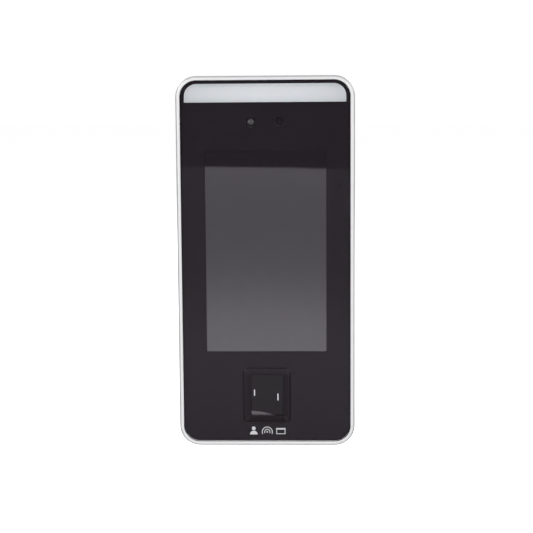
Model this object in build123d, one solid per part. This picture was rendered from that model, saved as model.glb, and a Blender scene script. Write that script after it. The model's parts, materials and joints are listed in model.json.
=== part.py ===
"""A wall-mounted access terminal with face cameras, touch screen and fingerprint sensor.

Each sub-part is a solid of its own and is written to parts/NODE.step.  Millimetres.
X is to the viewer's right, Z is up and Y goes into the wall.  The origin is on the wall,
behind the middle of the terminal.  "Out" is a distance from the wall towards the viewer,
so a point at out = 5 has y = -5.
"""

import os

from build123d import *

# ---------------------------------------------------------------- driving dimensions
BODY_WIDTH = 95.4
BODY_HEIGHT = 200.2
BODY_OUT = 22.0  # front of the frame, and the whole depth from the wall
BODY_RADIUS = 11.0
RIM = 2.3  # metal-coloured rim seen around the glass
SEAM_OUT = 10.5  # where the front frame meets the rear cover
WALL = 2.0

GLASS_WIDTH = BODY_WIDTH - 2 * RIM
GLASS_HEIGHT = BODY_HEIGHT - 2 * RIM
GLASS_RADIUS = BODY_RADIUS - RIM
GLASS_GAP = 0.1
GLASS_FRONT = BODY_OUT - 0.1
GLASS_THICK = 1.3
GLASS_BACK = GLASS_FRONT - GLASS_THICK
INK_FRONT = GLASS_BACK - 0.02  # the print is on a film of its own
INK_BACK = INK_FRONT - 0.1

LEDGE_FRONT = INK_BACK - 0.2  # the tape between ink and ledge is 0.2 thick
LEDGE_BACK = LEDGE_FRONT - 1.7
LEDGE_WIDTH = 1.7
FRAME_WALL = 2.2
TONGUE_END = SEAM_OUT + 1.5  # the rear cover's locating ring reaches this far into the frame

SCREEN_WIDTH, SCREEN_HEIGHT, SCREEN_Z = 64.8, 108.2, 5.9
LIGHT_HALF_WIDTH, LIGHT_TOP, LIGHT_BOTTOM, LIGHT_RADIUS = 43.15, 95.95, 86.15, 6.6
CAMERA_X, CAMERA_Z, CAMERA_WINDOW = 7.7, 75.3, 6.0
LENS_Z = CAMERA_Z + 0.6  # the lenses sit a little high in their windows
BARREL_REAR, BARREL_FRONT = 14.4, 19.4
MIC_X, MIC_Z, MIC_HOLE = 39.5, 41.6, 0.9
SENSOR_WIDTH, SENSOR_HEIGHT, SENSOR_RADIUS, SENSOR_Z = 25.0, 29.7, 2.3, -72.4
PRISM_WIDTH, PRISM_HEIGHT = 18.6, 23.0

REAR_OUT = 0.6  # the cover's rear rim stands this far off the wall
COVER_INSET = 1.2
COVER_WIDTH = BODY_WIDTH - 2 * COVER_INSET
COVER_HEIGHT = BODY_HEIGHT - 2 * COVER_INSET
COVER_RADIUS = BODY_RADIUS - COVER_INSET
COVER_DRAFT = 4.0  # degrees
RECESS_FLOOR = 2.0  # the wall plate lies in a recess of the rear cover
RECESS_BACK = 4.0
RECESS_WIDTH, RECESS_TOP, RECESS_BOTTOM = 74.0, 84.5, -92.5

PLATE_THICK = 1.5
PLATE_WIDTH, PLATE_HALF_HEIGHT = 72.0, 84.0
BAY_WIDTH, BAY_TOP, BAY_BOTTOM = 54.0, 26.0, -34.0
LIFT = 8.0  # the terminal goes up this far to clear the hooks
HOOK_X, HOOK_WIDTH, HOOK_LIP = 22.0, 10.0, 7.2
HOOK_Z = (56.0, -62.0)
BOLT_X, BOLT_Z, BOLT_HOLE = 30.0, 40.0, 2.25
BOX_SLOT_Z, BOX_SLOT_PITCH, BOX_SLOT_LENGTH = -4.0, 83.5, 9.0

FLANGE_TOP, FLANGE_HALF_WIDTH, FLANGE_END = -96.8, 15.0, 10.2
FLANGE_BOTTOM = FLANGE_TOP - PLATE_THICK
POCKET_TOP = FLANGE_TOP + 0.2
SCREW_OUT = 5.0  # axis of the security screw

CASE_SCREWS = [(side * 41.3, z) for side in (-1, 1) for z in (78.0, -2.0, -90.0)]
CASE_SEAT = 3.0  # floor of the counterbores that take the case screws' heads
CASE_BOSS_END = 8.9  # where the cover's bosses meet the frame's
CASE_PILOT, CASE_PILOT_END, CASE_SCREW_END = 1.27, 15.0, 14.0
BOARD_SCREWS = [(side * 33.0, z) for side in (-1, 1) for z in (70.0, -50.0)]

BOARD_REAR, BOARD_FRONT = 8.0, 9.6
FLEX_THICK = 0.2
FLEX_OUT = BOARD_FRONT + 0.9  # middle of a flex cable lying on its connector
BOARD_WIDTH, BOARD_TOP, BOARD_BOTTOM = 75.0, 82.0, -93.0

CHASSIS_REAR, CHASSIS_FRONT = 15.2, 16.0
CHASSIS_WIDTH, CHASSIS_TOP, CHASSIS_BOTTOM = 75.2, 84.5, -56.0
CHASSIS_SCREWS = [(side * 41.3, z) for side in (-1, 1) for z in (62.0, -40.0)]
CHASSIS_SCREW_END = 18.2
POST_X, POST_REAR = 17.5, 13.0  # the posts that hold the camera board
CAMERA_BOARD_REAR, CAMERA_BOARD_FRONT = 12.0, POST_REAR
PILOT = 0.82  # hole radius for the small thread-forming screws

FILM_BACK = INK_BACK - 0.2
LCD_FRONT = FILM_BACK - 0.05
LCD_TRAY_OUT = CHASSIS_FRONT
LCD_WIDTH, LCD_TOP, LCD_BOTTOM = 75.8, 64.4, -55.1
LCD_SHEET = 0.4
LCD_BACK = LCD_FRONT - 1.9  # the glass panel lies in front of this, the backlight behind

LAMP_BOARD_REAR, LAMP_BOARD_FRONT, DIFFUSER_BACK = 14.0, 15.0, 18.6
LED_COUNT, LED_PITCH = 12, 6.4
BEZEL_BACK, PRISM_FRONT = 19.0, 20.2
SENSOR_FLOOR, SENSOR_BOARD_FRONT = 11.6, 12.6

TAMPER_X, TAMPER_Z, TAMPER_TRAVEL = 22.0, 44.0, 1.2
RESET_X, RESET_OUT, RESET_TRAVEL = 24.0, 6.2, 0.4
USB_X, USB_WIDTH, USB_THICK, USB_OUT = -26.5, 13.1, 5.7, 4.3
USB_MOUTH, USB_END = -98.2, -84.2
JACK_X, JACK_Z, JACK_WIDTH, JACK_HEIGHT = -14.5, 12.0, 16.0, 15.4
JACK_REAR, JACK_FRONT = 2.4, 15.0
SPEAKER_X, SPEAKER_WIDTH, SPEAKER_BOTTOM, SPEAKER_TOP = 26.5, 20.0, -94.0, -66.0
SPEAKER_FRONT = 14.9
MIC_BOARD_REAR, MIC_BOARD_FRONT = 16.4, 17.5
BATTERY_X, BATTERY_Z = -27.0, -66.0
RELAY_X, RELAY_Z = 27.0, -40.0

PIN_PITCH = 2.5
HEADERS = [(14.0, 14.0, 4), (0.0, -8.0, 8), (0.0, -22.0, 8)]  # x, z, number of pins


# ---------------------------------------------------------------- shapes in this frame
def facing(out):
    """A plane parallel to the wall: X right, Z up, facing the viewer."""
    return Plane.XZ.offset(out)


def slab(width, height, low, high, radius=0.0, x=0.0, z=0.0):
    """A plate parallel to the wall, from out = low to out = high."""
    outline = RectangleRounded(width, height, radius) if radius else Rectangle(width, height)
    return extrude(facing(low) * Pos(x, z) * outline, amount=high - low)


def block(x_low, x_high, z_low, z_high, low, high):
    """A box between two X values, two Z values and two distances from the wall."""
    width, height = x_high - x_low, z_high - z_low
    return slab(width, height, low, high, 0.0, x_low + width / 2, z_low + height / 2)


def rod(radius, low, high, x, z):
    """A round bar square to the wall."""
    return extrude(facing(low) * Pos(x, z) * Circle(radius), amount=high - low)


def upright(radius, z_low, z_high, x, out):
    """A round bar along Z."""
    return Pos(x, -out, z_low) * extrude(Circle(radius), amount=z_high - z_low)


def drafted(width, height, radius, high, low):
    """A rounded plate that narrows towards the wall by the cover's draft."""
    plane = Plane(origin=(0, -high, 0), x_dir=(1, 0, 0), z_dir=(0, 1, 0))
    outline = RectangleRounded(width, height, radius)
    return extrude(plane * outline, amount=high - low, taper=COVER_DRAFT)


def funnel(front, front_out, back, back_out, z):
    """A hollow's solid between two rounded rectangles, each (width, height, radius)."""
    ends = [
        facing(out) * Pos(0, z) * RectangleRounded(*size)
        for size, out in ((front, front_out), (back, back_out))
    ]
    return loft(ends)


def light_outline(grow, low, high):
    """The light window's shape, rounded at its top corners only."""
    half, top, bottom = LIGHT_HALF_WIDTH + grow, LIGHT_TOP + grow, LIGHT_BOTTOM - grow
    radius = LIGHT_RADIUS + grow
    tall = top - bottom + 4 * radius
    rounded = slab(2 * half, tall, low, high, radius, 0, top - tall / 2)
    return rounded & block(-half, half, bottom, top, low, high)


def ribbon(path, thick, x_low, x_high, bend):
    """A flat flex cable that follows (z, out) points, from X to X, with rounded bends."""
    side = Plane(origin=(x_low, 0, 0), x_dir=(0, 0, 1), z_dir=(1, 0, 0))
    line = FilletPolyline(*path, radius=bend)
    return extrude(side * trace(line, thick), amount=x_high - x_low)


def screw(head_radius, head_low, head_high, shank_radius, shank_end, x, z):
    """A pan-head screw square to the wall, with a cross recess in its head."""
    head = rod(head_radius, head_low, head_high, x, z)
    outer = head_low if shank_end > head_high else head_high
    inner = head_high if outer == head_low else head_low
    rim = head.faces().filter_by(Axis.Y).sort_by(Axis.Y)[-1 if outer == head_low else 0]
    head = fillet(rim.edges(), 0.4)
    reach = 0.8 if outer == head_low else -0.8
    low, high = sorted((outer, outer + reach))
    for width, height in ((0.5, 2.4), (2.4, 0.5)):
        head -= slab(width, height, low, high, 0, x, z)
    low, high = sorted((inner, shank_end))
    return head + rod(shank_radius, low, high, x, z)


def group(solids):
    """Several separate solids in one node."""
    return Compound(children=list(solids))


# ---------------------------------------------------------------- housing
def front_frame():
    band = slab(BODY_WIDTH, BODY_HEIGHT, SEAM_OUT, BODY_OUT, BODY_RADIUS)
    band = fillet(band.faces().sort_by(Axis.Y)[0].edges(), 1.1)
    band = chamfer(band.faces().sort_by(Axis.Y)[-1].edges(), 0.35)
    pocket = GLASS_WIDTH + 2 * GLASS_GAP, GLASS_HEIGHT + 2 * GLASS_GAP
    band -= slab(*pocket, LEDGE_FRONT, BODY_OUT, GLASS_RADIUS + GLASS_GAP)
    opening = GLASS_WIDTH - 2 * LEDGE_WIDTH, GLASS_HEIGHT - 2 * LEDGE_WIDTH
    band -= slab(*opening, LEDGE_BACK, LEDGE_FRONT, GLASS_RADIUS - LEDGE_WIDTH)
    cavity = BODY_WIDTH - 2 * FRAME_WALL, BODY_HEIGHT - 2 * FRAME_WALL
    band -= slab(*cavity, SEAM_OUT, LEDGE_BACK, BODY_RADIUS - FRAME_WALL)
    for x, z in CASE_SCREWS:
        band += boss(2.8, CASE_BOSS_END + 0.1, SEAM_OUT + 1.7, x, z)
        band -= rod(CASE_PILOT, CASE_BOSS_END, CASE_PILOT_END, x, z)
    for x, z in CHASSIS_SCREWS:
        band += boss(2.3, CHASSIS_FRONT, CHASSIS_FRONT, x, z)
        band -= rod(PILOT, CHASSIS_FRONT, LEDGE_BACK - 0.2, x, z)
    for row_out in (13.2, 15.6, 18.0):
        for step in range(8):
            x = SPEAKER_X + (step - 3.5) * 2.4
            band -= upright(0.65, -BODY_HEIGHT / 2 - 1, -cavity[1] / 2 + 1, x, row_out)
    return band


def boss(radius, low, web_low, x, z):
    """A screw boss under the frame's ledge, with a web that ties it to the side wall."""
    wall_x = (BODY_WIDTH / 2 - FRAME_WALL + 0.5) * x / abs(x)
    inner, outer = sorted((x, wall_x))
    web = block(inner, outer, z - 1.2, z + 1.2, web_low, LEDGE_BACK)
    return web + rod(radius, low, LEDGE_BACK, x, z)


def rear_cover():
    shell = drafted(COVER_WIDTH, COVER_HEIGHT, COVER_RADIUS, SEAM_OUT, REAR_OUT)
    shell = fillet(shell.faces().sort_by(Axis.Y)[-1].edges(), 1.8)
    hollow = COVER_WIDTH - 2 * WALL, COVER_HEIGHT - 2 * WALL
    shell -= drafted(*hollow, COVER_RADIUS - WALL, SEAM_OUT, REAR_OUT + WALL)
    shell += cover_tongue()
    shell += recess_tray()
    middle = (RECESS_TOP + RECESS_BOTTOM) / 2
    recess_height = RECESS_TOP - RECESS_BOTTOM
    shell -= slab(RECESS_WIDTH, recess_height, 0, RECESS_FLOOR, 4.0, 0, middle)
    for x, z in CASE_SCREWS:
        shell += rod(3.4, REAR_OUT + 1, CASE_BOSS_END, x, z)
        shell -= rod(2.6, 0, CASE_SEAT, x, z)
        shell -= rod(1.45, CASE_SEAT, CASE_BOSS_END, x, z)
    for x, z in BOARD_SCREWS:
        shell += rod(2.5, RECESS_BACK - 1, BOARD_REAR, x, z)
        shell -= rod(1.02, RECESS_BACK + 0.6, BOARD_REAR, x, z)
    return shell - cover_openings()


def cover_tongue():
    """The ring that locates the cover inside the front frame."""
    outer = BODY_WIDTH / 2 - FRAME_WALL - 0.1, BODY_HEIGHT / 2 - FRAME_WALL - 0.1
    radius = BODY_RADIUS - FRAME_WALL - 0.1
    ring = slab(2 * outer[0], 2 * outer[1], SEAM_OUT - 0.5, TONGUE_END, radius)
    ring -= slab(2 * outer[0] - 2, 2 * outer[1] - 2, SEAM_OUT - 0.5, TONGUE_END, radius - 1)
    return ring


def recess_tray():
    """The thicker rear wall behind the recess, the bay's walls and the screw pocket."""
    middle = (RECESS_TOP + RECESS_BOTTOM) / 2
    height = RECESS_TOP - RECESS_BOTTOM + 2 * WALL
    tray = slab(RECESS_WIDTH + 2 * WALL, height, REAR_OUT + 1, RECESS_BACK, 5.0, 0, middle)
    bay_z, bay_height = (BAY_TOP + BAY_BOTTOM) / 2, BAY_TOP - BAY_BOTTOM
    tray += slab(BAY_WIDTH + 2.8, bay_height + 2.8, RECESS_FLOOR, 7.8, 4.4, 0, bay_z)
    half = FLANGE_HALF_WIDTH + 3.5
    tray += block(-half, half, POCKET_TOP - 1, POCKET_TOP + WALL, RECESS_FLOOR, SEAM_OUT)
    tray += upright(2.8, POCKET_TOP, POCKET_TOP + 6.6, 0, SCREW_OUT)
    return tray


def cover_openings():
    bay_z, bay_height = (BAY_TOP + BAY_BOTTOM) / 2, BAY_TOP - BAY_BOTTOM
    gone = slab(BAY_WIDTH, bay_height, -1, 8, 3.0, 0, bay_z)
    for z in HOOK_Z:
        for x in (-HOOK_X, HOOK_X):
            half, top = HOOK_WIDTH / 2 + 0.4, z + PLATE_THICK + 0.1
            bottom = z - LIFT - 0.2
            gone += block(x - half, x + half, bottom, top, 0, RECESS_BACK + 1)
    gone += rod(1.6, 0, RECESS_BACK + 1, TAMPER_X, TAMPER_Z)
    half = FLANGE_HALF_WIDTH + 1.5
    gone += block(-half, half, -BODY_HEIGHT / 2, POCKET_TOP, -1, SEAM_OUT)
    gone += block(-half, half, -BODY_HEIGHT / 2, RECESS_BOTTOM + 1, -1, RECESS_FLOOR)
    gone += upright(1.7, POCKET_TOP - 1, POCKET_TOP + 1.0, 0, SCREW_OUT)
    gone += upright(2.1, POCKET_TOP + 1.0, POCKET_TOP + 7, 0, SCREW_OUT)
    gone += upright(0.8, -BODY_HEIGHT / 2, -BODY_HEIGHT / 2 + 5, RESET_X, RESET_OUT)
    mouth = USB_WIDTH / 2 + 0.2
    gone += block(
        USB_X - mouth,
        USB_X + mouth,
        -BODY_HEIGHT / 2,
        -BODY_HEIGHT / 2 + 5,
        USB_OUT - 0.2,
        USB_OUT + USB_THICK + 0.2,
    )
    return gone


def case_screws():
    return group(
        screw(2.2, CASE_SEAT - 1.4, CASE_SEAT, 1.25, CASE_SCREW_END, x, z) for x, z in CASE_SCREWS
    )


def security_insert():
    insert = upright(2.1, POCKET_TOP + 1.0, POCKET_TOP + 6.0, 0, SCREW_OUT)
    return insert - upright(1.55, POCKET_TOP + 1.0, POCKET_TOP + 6.0, 0, SCREW_OUT)


# ---------------------------------------------------------------- wall plate and its screw
def wall_plate():
    plate = slab(PLATE_WIDTH, 2 * PLATE_HALF_HEIGHT, 0, PLATE_THICK, 4.0)
    half = FLANGE_HALF_WIDTH
    plate += block(-half, half, FLANGE_BOTTOM, -PLATE_HALF_HEIGHT + 5, 0, PLATE_THICK)
    plate += block(-half, half, FLANGE_BOTTOM, FLANGE_TOP, 0, FLANGE_END)
    corner = plate.edges().filter_by(Axis.X).group_by(Axis.Z)[0].sort_by(Axis.Y)[-1]
    plate = fillet(corner, PLATE_THICK - 0.1)
    plate -= upright(1.7, FLANGE_BOTTOM - 1, FLANGE_TOP + 1, 0, SCREW_OUT)
    bay_z, bay_height = (BAY_TOP + BAY_BOTTOM) / 2, BAY_TOP - BAY_BOTTOM
    plate -= slab(BAY_WIDTH - 4, bay_height - 4, 0, PLATE_THICK, 4.0, 0, bay_z)
    for z in (-BOLT_Z, BOLT_Z):
        for x in (-BOLT_X, BOLT_X):
            plate -= rod(BOLT_HOLE, 0, PLATE_THICK, x, z)
    for side in (-1, 1):
        z = BOX_SLOT_Z + side * BOX_SLOT_PITCH / 2
        slot = Rot(0, 0, 90) * SlotOverall(BOX_SLOT_LENGTH, 2 * BOLT_HOLE)
        plate -= extrude(facing(0) * Pos(0, z) * slot, amount=PLATE_THICK)
    for z in HOOK_Z:
        for x in (-HOOK_X, HOOK_X):
            half = HOOK_WIDTH / 2
            gap = half + 0.8
            plate -= block(x - gap, x + gap, z + PLATE_THICK, z + 13, 0, PLATE_THICK)
            plate += hook(x - half, x + half, z)
    return plate


def hook(x_low, x_high, z):
    """A lanced tab: out from the plate, then up behind the cover's rear wall."""
    lip_low = RECESS_BACK + 0.2
    stem = block(x_low, x_high, z, z + PLATE_THICK, 0, lip_low + PLATE_THICK)
    lip = block(x_low, x_high, z, z + HOOK_LIP, lip_low, lip_low + PLATE_THICK)
    tab = stem + lip
    bend = tab.edges().filter_by(Axis.X).group_by(Axis.Z)[0].sort_by(Axis.Y)[0]
    return fillet(bend, PLATE_THICK - 0.2)


def security_screw():
    head = upright(2.75, FLANGE_BOTTOM - 1.7, FLANGE_BOTTOM, 0, SCREW_OUT)
    head = fillet(head.faces().sort_by(Axis.Z)[0].edges(), 0.6)
    drive = Pos(0, -SCREW_OUT, FLANGE_BOTTOM - 1.7) * extrude(RegularPolygon(1.15, 6), amount=1.1)
    pin = upright(0.4, FLANGE_BOTTOM - 1.7, FLANGE_BOTTOM - 0.5, 0, SCREW_OUT)
    shank = upright(1.5, FLANGE_BOTTOM, POCKET_TOP + 5.6, 0, SCREW_OUT)
    return head - drive + pin + chamfer(shank.faces().sort_by(Axis.Z)[-1].edges(), 0.4)


# ---------------------------------------------------------------- glass and what lies on it
def sensor_cut(grow, low, high):
    size = SENSOR_WIDTH + 2 * grow, SENSOR_HEIGHT + 2 * grow
    return slab(*size, low, high, SENSOR_RADIUS + grow, 0, SENSOR_Z)


def cover_glass():
    sheet = slab(GLASS_WIDTH, GLASS_HEIGHT, GLASS_BACK, GLASS_FRONT, GLASS_RADIUS)
    sheet = fillet(sheet.faces().sort_by(Axis.Y)[0].edges(), 0.35)
    sheet -= sensor_cut(0.15, GLASS_BACK, GLASS_FRONT)
    return sheet - rod(MIC_HOLE / 2, GLASS_BACK, GLASS_FRONT, MIC_X, MIC_Z)


def ink_border():
    """The black print behind the glass, with clear windows."""
    film = slab(GLASS_WIDTH - 0.4, GLASS_HEIGHT - 0.4, INK_BACK, INK_FRONT, GLASS_RADIUS - 0.2)
    film -= slab(SCREEN_WIDTH, SCREEN_HEIGHT, INK_BACK, INK_FRONT, 0.3, 0, SCREEN_Z)
    film -= light_outline(0, INK_BACK, INK_FRONT)
    for x in (-CAMERA_X, CAMERA_X):
        film -= rod(CAMERA_WINDOW / 2, INK_BACK, INK_FRONT, x, CAMERA_Z)
    film -= sensor_cut(0.15, INK_BACK, INK_FRONT)
    return film - rod(MIC_HOLE / 2, INK_BACK, INK_FRONT, MIC_X, MIC_Z)


def glass_tape():
    """Double-sided foam tape between the print and the frame's ledge."""
    ring = slab(GLASS_WIDTH - 0.4, GLASS_HEIGHT - 0.4, LEDGE_FRONT, INK_BACK, GLASS_RADIUS - 0.2)
    inner = GLASS_WIDTH - 2 * LEDGE_WIDTH, GLASS_HEIGHT - 2 * LEDGE_WIDTH
    return ring - slab(*inner, LEDGE_FRONT, INK_BACK, GLASS_RADIUS - LEDGE_WIDTH)


def touch_film():
    height = SCREEN_HEIGHT + 5.0
    return slab(SCREEN_WIDTH + 6.0, height, FILM_BACK, INK_BACK, 1.0, 0, SCREEN_Z)


# ---------------------------------------------------------------- display
def lcd_room(shrink, low, high, radius):
    middle, height = (LCD_TOP + LCD_BOTTOM) / 2, LCD_TOP - LCD_BOTTOM
    size = LCD_WIDTH - 2 * shrink, height - 2 * shrink
    return slab(*size, low, high, radius, 0, middle)


def lcd_tray():
    tray = lcd_room(0, LCD_TRAY_OUT, LCD_FRONT, 1.2)
    return tray - lcd_room(LCD_SHEET, LCD_TRAY_OUT + LCD_SHEET, LCD_FRONT, 0.8)


def lcd_backlight():
    return lcd_room(LCD_SHEET + 0.2, LCD_TRAY_OUT + LCD_SHEET, LCD_BACK, 0.6)


def lcd_panel():
    return lcd_room(LCD_SHEET + 0.2, LCD_BACK, LCD_FRONT, 0.6)


def lcd_flex():
    low = LCD_BOTTOM - 0.15
    bend = low - 1.6
    path = [(low, 18.6), (bend, 17.0), (bend, 12.4), (low + 1.4, FLEX_OUT), (low + 9, FLEX_OUT)]
    return ribbon(path, FLEX_THICK, -12, 12, 0.8)


# ---------------------------------------------------------------- front light
def light_diffuser():
    """Milky plate with a raised rim that meets the window's edges."""
    plate = light_outline(0.1, DIFFUSER_BACK, INK_BACK)
    return plate - light_outline(-0.9, DIFFUSER_BACK + 1.3, INK_BACK)


def light_box():
    """White reflector walls between the light board and the diffuser."""
    walls = light_outline(0.1, LAMP_BOARD_FRONT, DIFFUSER_BACK)
    return walls - light_outline(-1.1, LAMP_BOARD_FRONT, DIFFUSER_BACK)


def light_board():
    ends = LAMP_BOARD_REAR, LAMP_BOARD_FRONT
    return light_outline(0.1, *ends) - block(-3, 3, LIGHT_BOTTOM - 1, LIGHT_BOTTOM + 1.2, *ends)


def light_leds():
    z, front = (LIGHT_TOP + LIGHT_BOTTOM) / 2, LAMP_BOARD_FRONT + 0.7
    chips = []
    for step in range(LED_COUNT):
        x = (step - (LED_COUNT - 1) / 2) * LED_PITCH
        base = slab(3.0, 2.8, LAMP_BOARD_FRONT, front, 0.3, x, z)
        chips.append(base - rod(1.1, front - 0.2, front, x, z))
    return group(chips)


# ---------------------------------------------------------------- chassis
def chassis_plate():
    """Sheet-steel plate behind the display, screwed to the front frame."""
    middle, height = (CHASSIS_TOP + CHASSIS_BOTTOM) / 2, CHASSIS_TOP - CHASSIS_BOTTOM
    plate = slab(CHASSIS_WIDTH, height, CHASSIS_REAR, CHASSIS_FRONT, 2.0, 0, middle)
    for x, z in CHASSIS_SCREWS:
        inner, outer = sorted((x / abs(x) * (CHASSIS_WIDTH / 2 - 2), x / abs(x) * 44.4))
        plate += block(inner, outer, z - 3.2, z + 3.2, CHASSIS_REAR, CHASSIS_FRONT)
        plate -= rod(1.05, CHASSIS_REAR, CHASSIS_FRONT, x, z)
    plate -= slab(31.0, 9.8, CHASSIS_REAR, CHASSIS_FRONT, 1.0, 0, CAMERA_Z)
    for x in (-POST_X, POST_X):
        plate += rod(1.8, POST_REAR, CHASSIS_REAR, x, CAMERA_Z)
        plate -= rod(PILOT, POST_REAR, CHASSIS_FRONT, x, CAMERA_Z)
    return plate


def chassis_screws():
    ends = CHASSIS_REAR - 1.0, CHASSIS_REAR, 0.8, CHASSIS_SCREW_END
    screws = [screw(1.8, *ends, x, z) for x, z in CHASSIS_SCREWS]
    ends = CAMERA_BOARD_REAR - 1.0, CAMERA_BOARD_REAR, 0.8, CHASSIS_FRONT - 0.4
    screws += [screw(1.7, *ends, x, CAMERA_Z) for x in (-POST_X, POST_X)]
    return group(screws)


# ---------------------------------------------------------------- cameras
def camera_board():
    ends = CAMERA_BOARD_REAR, CAMERA_BOARD_FRONT
    board = slab(40.0, 15.0, *ends, 1.5, 0, CAMERA_Z)
    for x in (-POST_X, POST_X):
        board -= rod(1.1, *ends, x, CAMERA_Z)
    return board


def infrared_leds():
    """Lamps for the infrared camera, which shine through the black print."""
    low = CAMERA_BOARD_FRONT
    return group(
        slab(2.2, 2.8, low, low + 1.0, 0.2, x, CAMERA_Z) + rod(0.9, low + 1.0, low + 1.5, x, CAMERA_Z)
        for x in (-13.7, 13.7)
    )


def camera_holder(x):
    low = CAMERA_BOARD_FRONT
    base = slab(9.0, 9.0, low, low + 2.0, 0.8, x, LENS_Z)
    base += rod(3.9, low + 2.0, low + 4.6, x, LENS_Z)
    base -= rod(3.05, low + 1.2, low + 4.6, x, LENS_Z)
    return base - slab(6.0, 6.0, low, low + 1.2, 0, x, LENS_Z)


def camera_barrel(x):
    """Threaded lens barrel with a stepped, conical mouth."""
    barrel = rod(3.0, BARREL_REAR, 18.6, x, LENS_Z) + rod(3.4, 17.8, BARREL_FRONT, x, LENS_Z)
    edge = barrel.faces().sort_by(Axis.Y)[0].edges()
    barrel = chamfer(edge, 0.3)
    mouth = Pos(x, -BARREL_FRONT, LENS_Z) * Rot(90, 0, 0)
    barrel -= mouth * Pos(0, 0, -0.5) * Cone(1.8, 2.6, 1.0)
    return barrel - rod(1.7, BARREL_REAR, BARREL_FRONT, x, LENS_Z)


def camera_lens(x):
    """Front element: a plano-convex disc."""
    ball_radius, front = 3.2, BARREL_FRONT - 0.5
    disc = rod(1.68, front - 1.7, front, x, LENS_Z)
    return disc & Pos(x, ball_radius - front, LENS_Z) * Sphere(ball_radius)


def camera_flex():
    low = CAMERA_Z - 7.5
    board = CAMERA_BOARD_REAR - FLEX_THICK / 2
    path = [(low + 3, board), (low - 1.0, board), (low - 2.6, FLEX_OUT), (low - 9, FLEX_OUT)]
    return ribbon(path, FLEX_THICK, -6, 6, 0.8)


# ---------------------------------------------------------------- fingerprint sensor
def sensor_bezel():
    bezel = sensor_cut(0, BEZEL_BACK, GLASS_FRONT)
    bezel = fillet(bezel.faces().sort_by(Axis.Y)[0].edges(), 0.25)
    bezel += slab(29.0, 33.2, BEZEL_BACK, INK_BACK - 0.4, 3.0, 0, SENSOR_Z)
    front = SENSOR_WIDTH - 1.6, SENSOR_HEIGHT - 1.6, SENSOR_RADIUS - 0.6
    window = PRISM_WIDTH + 0.2, PRISM_HEIGHT + 0.2, 0.6
    bezel -= funnel(front, GLASS_FRONT + 0.02, window, PRISM_FRONT + 0.1, SENSOR_Z)
    return bezel - slab(*window[:2], BEZEL_BACK, PRISM_FRONT + 0.2, window[2], 0, SENSOR_Z)


def sensor_gasket():
    ring = slab(28.6, 32.8, INK_BACK - 0.4, INK_BACK, 2.8, 0, SENSOR_Z)
    return ring - sensor_cut(0.2, INK_BACK - 0.4, INK_BACK)


def sensor_prism():
    """Optical prism: flat where the finger rests, with a sloping rear face."""
    step, half_width = BEZEL_BACK + 0.1, 8.5
    top = slab(PRISM_WIDTH, PRISM_HEIGHT, step, PRISM_FRONT, 0.5, 0, SENSOR_Z)
    half = PRISM_HEIGHT / 2 - 0.4
    side = Plane(origin=(-half_width, 0, SENSOR_Z), x_dir=(0, 0, 1), z_dir=(1, 0, 0))
    corners = (half, step), (half, 17.6), (-half, 14.2), (-half, step)
    profile = make_face(Polyline(*corners, close=True))
    return top + extrude(side * profile, amount=2 * half_width)


def sensor_housing():
    body = slab(24.0, 28.0, FLEX_OUT + FLEX_THICK / 2, BEZEL_BACK, 1.5, 0, SENSOR_Z)
    return body - slab(21.6, 25.6, SENSOR_FLOOR, BEZEL_BACK, 0.8, 0, SENSOR_Z)


def sensor_board():
    return slab(21.0, 25.0, SENSOR_FLOOR, SENSOR_BOARD_FRONT, 0.6, 0, SENSOR_Z)


def sensor_chip():
    low = SENSOR_BOARD_FRONT
    chip = slab(6.5, 6.5, low, low + 1.1, 0.2, 0, SENSOR_Z - 1)
    lamps = [
        slab(1.6, 0.8, low, low + 0.8, 0, x, SENSOR_Z + z)
        for x in (-8, 8)
        for z in (-9, 9)
    ]
    return group([chip, *lamps])


def sensor_flex():
    edge = SENSOR_Z - 14.0
    low, high = FLEX_OUT - FLEX_THICK / 2, FLEX_OUT + FLEX_THICK / 2
    return block(-4, 4, edge - 4.5, edge + 6, low, high)


# ---------------------------------------------------------------- main board
def main_board():
    middle, height = (BOARD_TOP + BOARD_BOTTOM) / 2, BOARD_TOP - BOARD_BOTTOM
    board = slab(BOARD_WIDTH, height, BOARD_REAR, BOARD_FRONT, 2.0, 0, middle)
    jack = JACK_WIDTH + 0.4, JACK_HEIGHT + 0.4
    board -= slab(*jack, BOARD_REAR, BOARD_FRONT, 0.5, JACK_X, JACK_Z)
    notch = USB_WIDTH / 2 + 0.3
    sides = USB_X - notch, USB_X + notch
    board -= block(*sides, BOARD_BOTTOM, USB_END + 0.3, BOARD_REAR, BOARD_FRONT)
    for x, z in BOARD_SCREWS:
        board -= rod(1.4, BOARD_REAR, BOARD_FRONT, x, z)
    return board


def board_screws():
    ends = BOARD_FRONT, BOARD_FRONT + 1.4, 1.0, RECESS_BACK + 1
    return group(screw(2.2, *ends, x, z) for x, z in BOARD_SCREWS)


def processor_shield():
    can = slab(36.0, 30.0, BOARD_FRONT, BOARD_FRONT + 3.0, 1.0, 8, 40)
    return can - slab(35.4, 29.4, BOARD_FRONT, BOARD_FRONT + 2.7, 0.7, 8, 40)


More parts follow.
